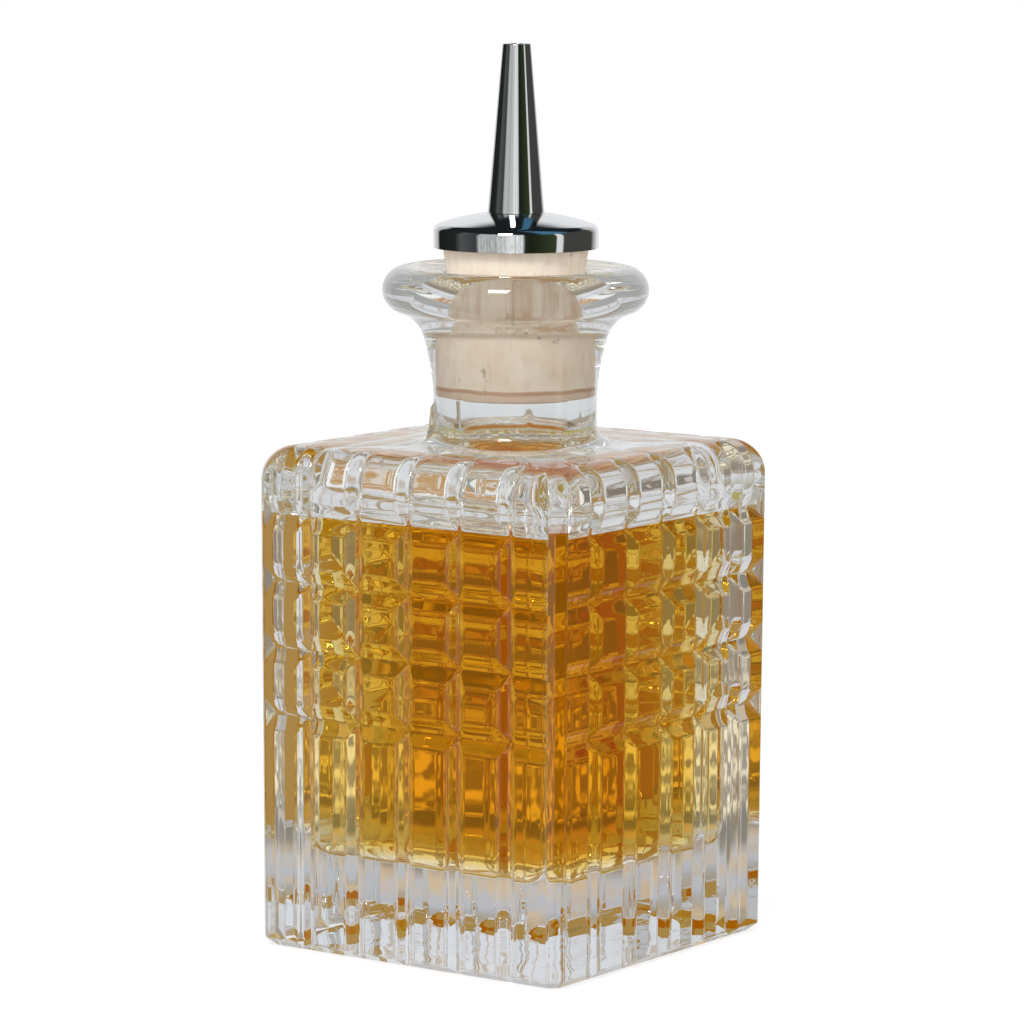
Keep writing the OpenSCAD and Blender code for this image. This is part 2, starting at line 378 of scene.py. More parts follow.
def deselect():
    """Leaves nothing selected, in object mode."""
    if bpy.context.mode != "OBJECT":
        bpy.ops.object.mode_set(mode="OBJECT")
    bpy.ops.object.select_all(action="DESELECT")


def pick(*pieces):
    """Selects these objects and makes the first one active."""
    deselect()
    for piece in pieces:
        piece.select_set(True)
    bpy.context.view_layer.objects.active = pieces[0]


def named(name):
    """Names the active object and its mesh."""
    piece = bpy.context.object
    piece.name = name
    piece.data.name = name
    return piece


def edit(piece, mode="VERT"):
    """Opens a piece in edit mode with nothing selected."""
    pick(piece)
    bpy.ops.object.mode_set(mode="EDIT")
    bpy.ops.mesh.select_mode(type=mode)
    bpy.ops.mesh.select_all(action="DESELECT")


def merge_points(gap):
    """Merges the points of the open mesh that lie closer together than this."""
    bpy.ops.mesh.select_all(action="SELECT")
    bpy.ops.mesh.remove_doubles(threshold=gap)


def face_outwards():
    """Turns all the faces of the open mesh outwards, and closes it."""
    bpy.ops.mesh.select_all(action="SELECT")
    bpy.ops.mesh.normals_make_consistent(inside=False)
    deselect()


def finished(piece, body, slot, *materials, smooth=35, replaced=()):
    """Brings a piece to metres, smooths it, gives it its materials and lets it ride on its body."""
    pick(piece)
    piece.data.transform(Matrix.Scale(MM, 4))
    bpy.ops.object.shade_smooth_by_angle(angle=math.radians(smooth))
    for material in materials:
        piece.data.materials.append(material)
    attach(piece, body)
    if replaced:
        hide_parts(*replaced)
    return piece


def arc(centre, radius, start, end, steps):
    """Points (across, up) on an arc from start to end, in degrees."""
    turns = [math.radians(start + (end - start) * i / steps) for i in range(steps + 1)]
    return [(centre[0] + radius * math.cos(t), centre[1] + radius * math.sin(t)) for t in turns]


def softened(value, softness):
    """The value where it is positive and nothing below that, with a rounded change between."""
    return softness * math.log1p(math.exp(min(value / softness, 50)))


def groove(offset, half):
    """Depth of a V groove of this half width at this distance from its middle."""
    away = math.hypot(offset / half, VALLEY_SOFTNESS)
    return softened(GROOVE_DEPTH * (1 - away), RIDGE_SOFTNESS)


def both(first, second):
    """The deeper of two grooves, with the hip between them rounded off."""
    return (first**HIP_POWER + second**HIP_POWER) ** (1 / HIP_POWER)


def face_columns():
    """Lines up a face, from the middle of one corner chamfer to the next. Each is (kind, place)."""
    last = (GROOVE_COLS - 1) / 2
    across = set()
    for i in range(GROOVE_COLS):
        middle = (i - last) * COL_PITCH
        across.add(middle)
        for share in GROOVE_LINES:
            across.update((middle - share * GROOVE_HALF, middle + share * GROOVE_HALF))
        if i:
            across.update(middle - COL_PITCH * share for share in TILE_LINES)
    inner = [("face", x) for x in sorted(across)]
    outer = [("edge", share) for share in EDGE_LINES]
    outer += [("run", 1 - share) for share in (0.0, *GROOVE_LINES[:4], 1.0)]
    outer += [("chamfer", None), ("chamfer", 1.0)]
    mirrored = [("-" + kind, place) for kind, place in reversed(outer)]
    return mirrored + inner + outer


def side_rows():
    """Lines round the body, from the base up to the end of the shoulder's roll: (height, roll in degrees)."""
    levels = [FOOT_BAND * share for share in (0, *GROOVE_LINES)]
    levels += [*RIB_LEVELS, *TOP_LEVELS]
    for j in range(GROOVE_ROWS):
        middle = ROW_BASE_Z + j * ROW_PITCH
        levels.append(middle)
        for share in GROOVE_LINES:
            levels += [middle - share * ROW_HALF, middle + share * ROW_HALF]
        if j:
            levels += [middle - ROW_PITCH * share for share in TILE_LINES]
    rows = [(z, 0) for z in sorted(levels)]
    for roll in SHOULDER_TURNS:
        rows.append((SHOULDER_Z - SHOULDER_ROLL + SHOULDER_ROLL * math.sin(math.radians(roll)), roll))
    return rows


def chamfer_inset(z):
    """How far the corner chamfer lies in from its widest place at this height."""
    inset = DRAFT * math.sqrt(2) * max(SHOULDER_Z - CORNER_ROLL - z, 0) / (SHOULDER_Z - CORNER_ROLL)
    inset += CORNER_FOOT_LEAN * max(1 - z / FOOT_BAND, 0)
    rise = max(z - SHOULDER_Z + CORNER_ROLL, 0)
    return inset + CORNER_ROLL - math.sqrt(max(CORNER_ROLL**2 - rise**2, 0))


def face_inset(z, roll):
    """How far the face lies in from its widest place at this height."""
    inset = DRAFT * max(SHOULDER_Z - SHOULDER_ROLL - z, 0) / (SHOULDER_Z - SHOULDER_ROLL)
    inset += FOOT_LEAN * max(1 - z / FOOT_BAND, 0)
    return inset + SHOULDER_ROLL * (1 - math.cos(math.radians(roll)))


def panel_point(column, row):
    """Where one line up the face crosses one line round the body, on the finished surface."""
    (kind, place), (z, roll) = column, row
    sign = -1 if kind.startswith("-") else 1
    kind = kind.lstrip("-")
    wall = HALF - face_inset(z, roll)
    reach = CORNER_REACH - chamfer_inset(z)
    edge = math.sqrt(2) * reach - wall
    middle = reach / math.sqrt(2)
    if kind == "chamfer":
        along = place
        if place is None:
            width = max((middle - edge) * math.sqrt(2), NARROWEST_CHAMFER)
            along = min(EDGE_ROUND / width, MOST_EDGE_SHARE)
        return Vector((sign * (edge + (middle - edge) * along), -(wall + (middle - wall) * along), z))

    level = max(groove(z - ROW_BASE_Z - j * ROW_PITCH, ROW_HALF) for j in range(GROOVE_ROWS))
    upright = 0.0
    last = (GROOVE_COLS - 1) / 2 * COL_PITCH
    last_line = last + GROOVE_LINES[-1] * GROOVE_HALF
    if kind == "face":
        across = place
        nearest = max(-last, min(last, round(place / COL_PITCH) * COL_PITCH))
        lean = FOOT_LEAN * max(1 - z / FOOT_BAND, 0)
        upright = max(groove(place - nearest, GROOVE_HALF) - lean, 0)
        upright *= math.cos(math.radians(min(roll, 89.9))) ** COLUMN_FADE
    elif kind == "edge":
        across = last_line + (edge - ROW_RUN_OUT - last_line) * place
    else:
        across = edge - EDGE_ROUND - (ROW_RUN_OUT - EDGE_ROUND) * place
        level = min(level, GROOVE_DEPTH * place)
    depth = both(level, upright) if level + upright > 1e-6 else 0.0
    turn = math.radians(roll)
    return Vector((sign * across, depth * math.cos(turn) - wall, z - depth * math.sin(turn)))


def face_panel():
    """One cut face of the body, from a flat grid whose lines are moved to where the pattern needs them."""
    columns, rows = face_columns(), side_rows()
    deselect()
    bpy.ops.mesh.primitive_grid_add(x_subdivisions=len(columns) - 1, y_subdivisions=len(rows) - 1, size=2)
    panel = named("bottle_glass")
    for vertex in panel.data.vertices:
        i = round((vertex.co.x + 1) / 2 * (len(columns) - 1))
        j = round((vertex.co.y + 1) / 2 * (len(rows) - 1))
        vertex.co = panel_point(columns[i], rows[j])
    return panel


def ring_angles():
    """Angles round a turned piece, closer together towards the corners of the square inside."""
    corner = math.atan2(CAVITY_HALF - CAVITY_ROUND, CAVITY_HALF)
    quarter = [corner * i / QUARTER_STRAIGHT for i in range(QUARTER_STRAIGHT)]
    quarter += [corner + (math.pi / 2 - 2 * corner) * i / QUARTER_CORNER for i in range(QUARTER_CORNER)]
    quarter += [math.pi / 2 - corner + corner * i / QUARTER_STRAIGHT for i in range(QUARTER_STRAIGHT)]
    return [q * math.pi / 2 + a for q in range(4) for a in quarter]


ANGLES = ring_angles()


def circle_ring(radius, z):
    """Points of a round ring."""
    return [Vector((radius * math.cos(a), radius * math.sin(a), z)) for a in ANGLES]


def square_ring(half, corner, z):
    """Points of a ring round a square with rounded corners."""
    ring = []
    for a in ANGLES:
        x, y = abs(math.cos(a)), abs(math.sin(a))
        low, high = min(x, y), max(x, y)
        far = half / high
        if low * far > half - corner:
            inner = half - corner
            along = inner * (x + y)
            far = along + math.sqrt(max(along**2 - 2 * inner**2 + corner**2, 0))
        ring.append(Vector((far * math.cos(a), far * math.sin(a), z)))
    return ring


def rolled(name, rings):
    """A flat grid rolled round into a tube whose rows lie on these rings."""
    deselect()
    bpy.ops.mesh.primitive_grid_add(x_subdivisions=len(ANGLES), y_subdivisions=len(rings) - 1, size=2)
    piece = named(name)
    for vertex in piece.data.vertices:
        i = round((vertex.co.x + 1) / 2 * len(ANGLES)) % len(ANGLES)
        j = round((vertex.co.y + 1) / 2 * (len(rings) - 1))
        vertex.co = rings[j][i]
    edit(piece)
    merge_points(SAME_PLACE)
    deselect()
    return piece


def turned(name, outline, sides=96):
    """A piece turned on a lathe: its outline (radius, height) is drawn point by point and spun round."""
    deselect()
    bpy.ops.mesh.primitive_plane_add(size=0.01, location=(0, 0, 0))
    piece = named(name)
    edit(piece)
    bpy.ops.mesh.select_all(action="SELECT")
    bpy.ops.mesh.merge(type="CENTER")
    bpy.ops.transform.translate(value=(outline[0][0], 0, outline[0][1]))
    for before, after in zip(outline, outline[1:]):
        step = (after[0] - before[0], 0, after[1] - before[1])
        bpy.ops.mesh.extrude_region_move(TRANSFORM_OT_translate={"value": step})
    bpy.ops.mesh.select_all(action="SELECT")
    bpy.ops.mesh.spin(steps=sides, angle=math.tau, center=(0, 0, 0), axis=(0, 0, 1))
    merge_points(SAME_PLACE)
    face_outwards()
    return piece


def wave(point, length):
    """Unevenness of pressed glass at this place, from -1 to 1."""
    return noise.noise(point / length)


def neck_outline():
    """The neck's outside, from the root on the shoulder up to the middle of the mouth's edge."""
    lip = Vector((LIP_R - LIP_ROUND, LIP_Z))
    end = Vector((WAIST_R + FLARE_R * (1 - math.cos(FLARE_TILT)), FLARE_Z + FLARE_R * math.sin(FLARE_TILT)))
    normal = Vector((math.cos(FLARE_TILT), -math.sin(FLARE_TILT)))
    across = lip - end
    under_r = (across.length_squared - LIP_ROUND**2) / (2 * (LIP_ROUND + across.dot(normal)))
    under = end + under_r * normal
    meet = math.degrees(math.atan2(lip.y - under.y, lip.x - under.x))
    tilt = math.degrees(FLARE_TILT)
    mouth_z = LIP_Z + LIP_ROUND - MOUTH_DROP
    points = arc((WAIST_R + ROOT_ROUND, SHOULDER_Z + ROOT_ROUND), ROOT_ROUND, 270, 180, 10)
    points += arc((WAIST_R + FLARE_R, FLARE_Z), FLARE_R, 180, 180 - tilt, 14)
    points += arc(under, under_r, 180 - tilt, meet, 10)[1:]
    points += arc(lip, LIP_ROUND, meet - 180, 90, 30)[1:]
    points += arc((MOUTH_R + MOUTH_ROUND, mouth_z - MOUTH_ROUND), MOUTH_ROUND, 90, 180, 6)
    return points


def cork_r_at(z):
    """Radius of the cork at this height: squeezed in the neck's bore, then swelling to its own taper."""
    squeezed = THROAT_R - CORK_GAP
    free = CORK_TOP_R - CORK_TAPER * (CORK_TOP_Z - z)
    swell = min(max((z - SEAT_TOP_Z) / SWELL, 0), 1)
    return squeezed + (free - squeezed) * swell**2 * (3 - 2 * swell)


def cavity_levels():
    """The space for the liquid as rounded squares, from floor to roof: half width, corner and height."""
    turns = [math.radians(11.25 * i) for i in range(9)]
    first, last = FLOOR_Z + CAVITY_ROUND, ROOF_Z - ROOF_ROUND
    levels = []
    for share in FLOOR_SHARES:
        levels.append(((CAVITY_HALF - CAVITY_ROUND) * share, LEAST_CORNER * share, FLOOR_Z))
    for turn in turns:
        inset = CAVITY_ROUND * (1 - math.sin(turn))
        rise = CAVITY_ROUND * (1 - math.cos(turn))
        levels.append((CAVITY_HALF - inset, max(CAVITY_ROUND - inset, LEAST_CORNER), FLOOR_Z + rise))
    heights = [first + (CONTACT_Z - first) * k / WALL_STEPS for k in range(1, WALL_STEPS + 1)]
    levels += [(CAVITY_HALF, CAVITY_ROUND, z) for z in heights]
    for turn in turns:
        inset = ROOF_ROUND * (1 - math.cos(turn))
        corner = max(CAVITY_ROUND - inset * CORNER_SHRINK, LEAST_CORNER)
        levels.append((CAVITY_HALF - inset, corner, last + ROOF_ROUND * math.sin(turn)))
    return levels


def inner_point(point, inset=0.0):
    """A point of the inner wall, moved by the wall's unevenness and brought in by inset."""
    span = (ROOF_Z - FLOOR_Z) / 2
    way = point - Vector((0, 0, FLOOR_Z + span))
    share = (way.x / CAVITY_HALF, way.y / CAVITY_HALF, way.z / span)
    normal = Vector([math.copysign(abs(s) ** BOX_POWER, s) for s in share]).normalized()
    return point + normal * (WALL_WAVE * wave(point, WALL_WAVE_LENGTH) - inset)


def cavity_rings():
    """Rings of the inner wall, from the middle of its floor up to its roof."""
    return [[inner_point(p) for p in square_ring(*level)] for level in cavity_levels()]


def seam_fin(angle, z):
    """Height of the thin fins that the mould leaves at the neck's root, over the body's corners."""
    off = (math.degrees(angle - FIN_ANGLE) + 45) % 90 - 45
    height = FIN_HEIGHT if abs(angle - FIN_ANGLE) < math.pi / 4 else FAINT_FIN
    across = math.exp(-((off / FIN_WIDTH) ** 2))
    up = 1 / (1 + math.exp((z - FIN_TOP_Z) / FIN_FADE))
    return height * across * up * min(max((z - SHOULDER_Z) / FIN_RISE, 0), 1)


def neck_ring(radius, z):
    """A ring of the neck's outside, with the mould's fins at its root."""
    ring = []
    for angle, point in zip(ANGLES, circle_ring(radius, z)):
        out = Vector((math.cos(angle), math.sin(angle), 0))
        fin = seam_fin(angle, z) if radius < WAIST_R + ROOT_ROUND else 0
        ring.append(point + out * fin)
    return ring


def throat_rings():
    """Rings from the roof of the cavity up the throat and the cork's seat to the mouth."""
    corner = (THROAT_R + THROAT_ROUND, ROOF_Z + THROAT_ROUND)
    points = [(THROAT_R + THROAT_ROUND + ROOF_REACH, ROOF_Z)] + arc(corner, THROAT_ROUND, 270, 180, 6)
    points += [(THROAT_R, z) for z in (*THROAT_LEVELS, CORK_LOW_Z, *SEAT_LEVELS)]
    for k in range(7):
        z = SEAT_TOP_Z + SWELL * k / 6
        points.append((cork_r_at(z) + CORK_GAP, z))
    mouth_z = LIP_Z + LIP_ROUND - MOUTH_DROP - MOUTH_ROUND
    mouth_gap = MOUTH_R - cork_r_at(mouth_z)
    for share in MOUTH_SHARES:
        z = SEAT_TOP_Z + SWELL + (mouth_z - SEAT_TOP_Z - SWELL) * share
        gap = CORK_GAP + (mouth_gap - CORK_GAP) * share**MOUTH_GAP_POWER
        points.append((cork_r_at(z) + gap, z))
    return [circle_ring(*point) for point in points]


def close_pole(piece, z, reach):
    """Draws the smallest ring at this height together at its middle."""
    edit(piece)
    mesh = bmesh.from_edit_mesh(piece.data)
    for vertex in mesh.verts:
        vertex.select = abs(vertex.co.z - z) < 1 and vertex.co.xy.length < reach
    bmesh.update_edit_mesh(piece.data)
    bpy.ops.mesh.merge(type="CENTER")
    deselect()


def bottle_glass():
    """The bottle: four cut faces, the shoulder, the neck and the space inside, as one closed glass wall."""
    panel = face_panel()
    sides = [panel]
    for quarter in (1, 2, 3):
        pick(panel)
        bpy.ops.object.duplicate()
        side = bpy.context.object
        bpy.ops.transform.rotate(value=quarter * math.pi / 2, orient_axis="Z", center_override=(0, 0, 0))
        bpy.ops.object.transform_apply()
        sides.append(side)
    pick(*sides)
    bpy.ops.object.join()
    edit(panel)
    merge_points(PANEL_SEAM)
    hollow_base(panel)

    outside = [neck_ring(*point) for point in reversed(neck_outline())]
    inside = rolled("bottle_inside", cavity_rings() + throat_rings() + outside)
    close_pole(inside, FLOOR_Z, 1.0)
    pick(panel, inside)
    bpy.ops.object.join()
    edit(panel, "EDGE")
    bpy.ops.mesh.select_non_manifold(extend=False)
    bpy.ops.mesh.bridge_edge_loops()
    bpy.ops.mesh.select_all(action="SELECT")
    bpy.ops.mesh.quads_convert_to_tris(quad_method="LONGEST_DIAGONAL", ngon_method="BEAUTY")
    face_outwards()
    settle_surface(panel)
    return panel


def hollow_base(piece):
    """Closes the foot with rings that shrink to its middle, drawn up into a shallow, uneven hollow."""
    edit(piece, "EDGE")
    mesh = bmesh.from_edit_mesh(piece.data)
    for edge in mesh.edges:
        edge.select = all(vertex.co.z < 0.01 for vertex in edge.verts)
    bmesh.update_edit_mesh(piece.data)
    for k in range(1, BASE_RINGS):
        share = (BASE_RINGS - k) / (BASE_RINGS - k + 1)
        bpy.ops.mesh.extrude_edges_move()
        bpy.ops.transform.resize(value=(share, share, 1), center_override=(0, 0, 0))
    bpy.ops.mesh.extrude_edges_move()
    bpy.ops.mesh.merge(type="CENTER")
    deselect()
    for vertex in piece.data.vertices:
        inwards = (BASE_HALF - max(abs(vertex.co.x), abs(vertex.co.y)) - BASE_RIM) / BASE_SLOPE
        if vertex.co.z < 0.01 and inwards > 0:
            rise = min(inwards, 1) ** 2 * (3 - 2 * min(inwards, 1))
            vertex.co.z = rise * (BASE_HOLLOW + BASE_WAVE * wave(vertex.co, BASE_WAVE_LENGTH))


def inside_cavity(point):
    """True for a place on the wall of the space that holds the liquid."""
    return max(abs(point.x), abs(point.y)) < CAVITY_HALF + 1 and point.z > FLOOR_Z - 1


def settle_surface(piece):
    """Gives the outside of the body its slight unevenness, all of it inwards, and leaves the base flat."""
    places = []
    for vertex in piece.data.vertices:
        inwards = SURFACE_WAVE * (wave(vertex.co, SURFACE_WAVE_LENGTH) - 1)
        places.append(vertex.co + vertex.normal * inwards)
    for vertex, place in zip(piece.data.vertices, places):
        if vertex.co.z > FOOT_BAND and not inside_cavity(vertex.co):
            vertex.co = place


def liquid():
    """The bitters in the cavity, up to a level with a rim where it climbs the glass."""
    levels = [level for level in cavity_levels() if level[2] < CONTACT_Z + 0.001]
    rings = [[inner_point(p, LIQUID_CLEAR) for p in square_ring(*level)] for level in levels]
    contact = square_ring(*levels[-1])
    shifts = [inside - p for inside, p in zip(rings[-1], contact)]
    for away in MENISCUS_STEPS:
        fading = math.exp(-away / MENISCUS_REACH)
        z = LIQUID_Z + MENISCUS * fading
        ring = square_ring(CAVITY_HALF - away, CAVITY_ROUND - away * CORNER_SHRINK, z)
        rings.append([p + shift * fading for p, shift in zip(ring, shifts)])
    for share in SURFACE_SHARES:
        rings.append(square_ring(CAVITY_HALF * share, LEAST_CORNER * share, LIQUID_Z))
    piece = rolled("bitters_liquid", rings)
    close_pole(piece, FLOOR_Z, 1.0)
    close_pole(piece, LIQUID_Z, 1.0)
    edit(piece)
    face_outwards()
    open_face = piece.data.attributes.new("open_surface", "FLOAT", "FACE")
    for face, mark in zip(piece.data.polygons, open_face.data):
        mark.value = float(face.center.z > LIQUID_Z - 0.1 and face.normal.z > 0.05)
    return piece


def cork_pores():
    """Where the cork's pores lie, and how wide and deep each is: (angle, height, size, depth)."""
    random.seed(CORK_SEED)
    pores = []
    for _ in range(CORK_PORES):
        angle, z = random.uniform(0, math.tau), random.uniform(SEAT_TOP_Z + 2, CORK_TOP_Z - 0.5)
        pores.append((angle, z, random.uniform(*PORE_SIZE), random.uniform(*PORE_DEPTH)))
    return pores


def cork():
    """The tapered cork, bored through, with its pores and dents."""
    edge = CORK_EDGE
    touching = CORK_GAP + CORK_SQUEEZE
    seat_r = cork_r_at(CORK_LOW_Z) + touching
    points = [(SINK_R, CORK_LOW_Z)] + arc((seat_r - edge, CORK_LOW_Z + edge), edge, 270, 360, 4)
    steps = 72
    for k in range(1, steps):
        z = CORK_LOW_Z + edge + (CORK_TOP_Z - CORK_LOW_Z - 2 * edge) * k / steps
        points.append((cork_r_at(z) + (touching if z < SEAT_TOP_Z + SWELL else 0.0), z))
    top_r = cork_r_at(CORK_TOP_Z)
    points += arc((top_r - edge, CORK_TOP_Z - edge), edge, 0, 90, 4)
    points += [(CORK_MID_R, CORK_TOP_Z), (CORK_BORE_R, CORK_TOP_Z), (CORK_BORE_R, CORK_MID_Z)]
    points += [(CORK_BORE_R, SINK_TOP_Z), (SINK_R, SINK_TOP_Z), (SINK_R, CORK_LOW_Z)]
    piece = turned("cork_body", points, sides=168)
    pores = cork_pores()
    for vertex in piece.data.vertices:
        radius = vertex.co.xy.length
        if radius < CORK_INSIDE_R or vertex.co.z < SEAT_TOP_Z + SWELL:
            continue
        angle, dent = math.atan2(vertex.co.y, vertex.co.x) % math.tau, 0.0
        for at, z, size, depth in pores:
            across = min(abs(angle - at), math.tau - abs(angle - at)) * radius
            if across < 3 * size and abs(vertex.co.z - z) < 3 * size:
                dent = max(dent, depth * math.exp(-((across / size) ** 2 + ((vertex.co.z - z) / size) ** 2)))
        dent += CORK_WAVE * max(noise.noise(vertex.co * CORK_WAVE_SCALE), 0)
        vertex.co.xy *= (radius - dent) / radius
    return piece


def cap():
    """The domed cap: a turned disc with a recess for the cork and edges just broken."""
    dome_z = CAP_SEAT_Z - math.sqrt(DOME_R**2 - SEAT_LAND_R**2)
    rim = CAP_R - CAP_EDGE
    lift = math.sqrt((DOME_R - CAP_EDGE) ** 2 - rim**2)
    meet = math.degrees(math.atan2(lift, rim))
    land = math.degrees(math.acos(SEAT_LAND_R / DOME_R))
    b = BROKEN_EDGE
    points = [(RECESS_R, CORK_TOP_Z), (RECESS_R, CAP_LOW_Z + b)]
    points += arc((RECESS_R + b, CAP_LOW_Z + b), b, 180, 270, 3)
    points += arc((CAP_R - b, CAP_LOW_Z + b), b, 270, 360, 4)
    points += arc((rim, dome_z + lift), CAP_EDGE, 0, meet, 12)
    points += arc((0, dome_z), DOME_R, meet, land, 16)
    points += [(CORK_BORE_R, CAP_SEAT_Z), (CORK_BORE_R, CORK_TOP_Z), (RECESS_R, CORK_TOP_Z)]
    return turned("cap_chrome", points, sides=160)


def spout():
    """The drip spout: a slim cone bored through, with a socket for the stem in its foot."""
    b = BROKEN_EDGE
    socket_z = CAP_SEAT_Z + SOCKET_DEPTH
    points = [(STEM_END_R, CAP_SEAT_Z), (SPOUT_FOOT_R - b, CAP_SEAT_Z), (SPOUT_FOOT_R, CAP_SEAT_Z + b)]
    for k in range(1, 12):
        share = k / 12
        radius = SPOUT_FOOT_R + (SPOUT_TIP_R - SPOUT_FOOT_R) * share
        points.append((radius, CAP_SEAT_Z + (TIP_Z - CAP_SEAT_Z) * share))
    points += arc((SPOUT_TIP_R - b, TIP_Z - b), b, 0, 90, 4)
    points += arc((OUTLET_R + b, TIP_Z - b), b, 90, 180, 3)
    points += [(OUTLET_R, socket_z), (STEM_END_R, socket_z), (STEM_END_R, CAP_SEAT_Z)]
    return turned("spout_chrome", points, sides=96)


def stem():
    """The hollow stem with its flange, and the slot across the flange for a screwdriver."""
    b = BROKEN_EDGE
    low = FLANGE_LOW_Z
    top = CAP_SEAT_Z + SOCKET_DEPTH - END_GAP
    step_z = CAP_SEAT_Z - STEP_GAP
    end_r = STEM_END_R - SLIP
    pocket_z = low + POCKET_DEPTH
    points = [(POCKET_R, low), (FLANGE_R - b, low), (FLANGE_R, low + b), (FLANGE_R, low + FLANGE_T - b)]
    points += [(FLANGE_R - b, low + FLANGE_T), (STEM_R, low + FLANGE_T), (STEM_R, step_z), (end_r, step_z)]
    points += [(end_r, top - b), (end_r - b, top), (STEM_BORE_R, top)]
    points += [(STEM_BORE_R, pocket_z), (POCKET_R, pocket_z), (POCKET_R, low)]
    piece = turned("stem_steel", points, sides=72)
    deselect()
    bpy.ops.mesh.primitive_cube_add(size=1, location=(0, 0, low))
    cutter = bpy.context.object
    cutter.scale = (3 * FLANGE_R, SLOT_W, 2 * SLOT_DEPTH)
    bpy.ops.object.transform_apply()
    pick(piece)
    cut = piece.modifiers.new("slot", "BOOLEAN")
    cut.operation = "DIFFERENCE"
    cut.object = cutter
    bpy.ops.object.modifier_apply(modifier=cut.name)
    bpy.data.objects.remove(cutter)
    return piece


def washer():
    """The flat ring that spreads the flange's pull over the cork."""
    b = BROKEN_EDGE
    low, high = WASHER_LOW_Z, SINK_TOP_Z
    points = [(CORK_BORE_R, low), (WASHER_R - b, low), (WASHER_R, low + b), (WASHER_R, high - b)]
    points += [(WASHER_R - b, high), (CORK_BORE_R, high), (CORK_BORE_R, low)]
    return turned("washer_steel", points, sides=72)


def insert():
    """The plastic plug in the stem's foot, with the small hole that lets out a dash at a time."""
    low = FLANGE_LOW_Z
    head = CORK_LOW_Z
    top = low + POCKET_DEPTH - STEP_GAP
    side = POCKET_R - SLIP
    edge = INSERT_EDGE
    points = [(DASH_HOLE_R, head), (INSERT_HEAD_R - edge, head)]
    points += arc((INSERT_HEAD_R - edge, head + edge), edge, 270, 360, 4)
    points += [(INSERT_HEAD_R, low), (side, low), (side, top - edge), (side - edge, top)]
    points += [(DASH_HOLE_R, top), (DASH_HOLE_R, head)]
    return turned("dash_plug", points, sides=56)


class Wire:
    """An output socket that takes part in plain arithmetic: each step adds its Math node."""

    def __init__(self, finish, socket):
        self.finish = finish
        self.socket = socket

    def maths(self, operation, *values):
        """The result of a Math node."""
        return self.finish.node("ShaderNodeMath", {"operation": operation}, dict(enumerate(values)))

    def __add__(self, other):
        return self.maths("ADD", self, other)

    def __sub__(self, other):
        return self.maths("SUBTRACT", self, other)

    def __rsub__(self, other):
        return self.maths("SUBTRACT", other, self)

    def __mul__(self, other):
        return self.maths("MULTIPLY", self, other)

    def __truediv__(self, other):
        return self.maths("DIVIDE", self, other)

    def __pow__(self, other):
        return self.maths("POWER", self, other)

    def __gt__(self, other):
        return self.maths("GREATER_THAN", self, other)

    __radd__ = __add__


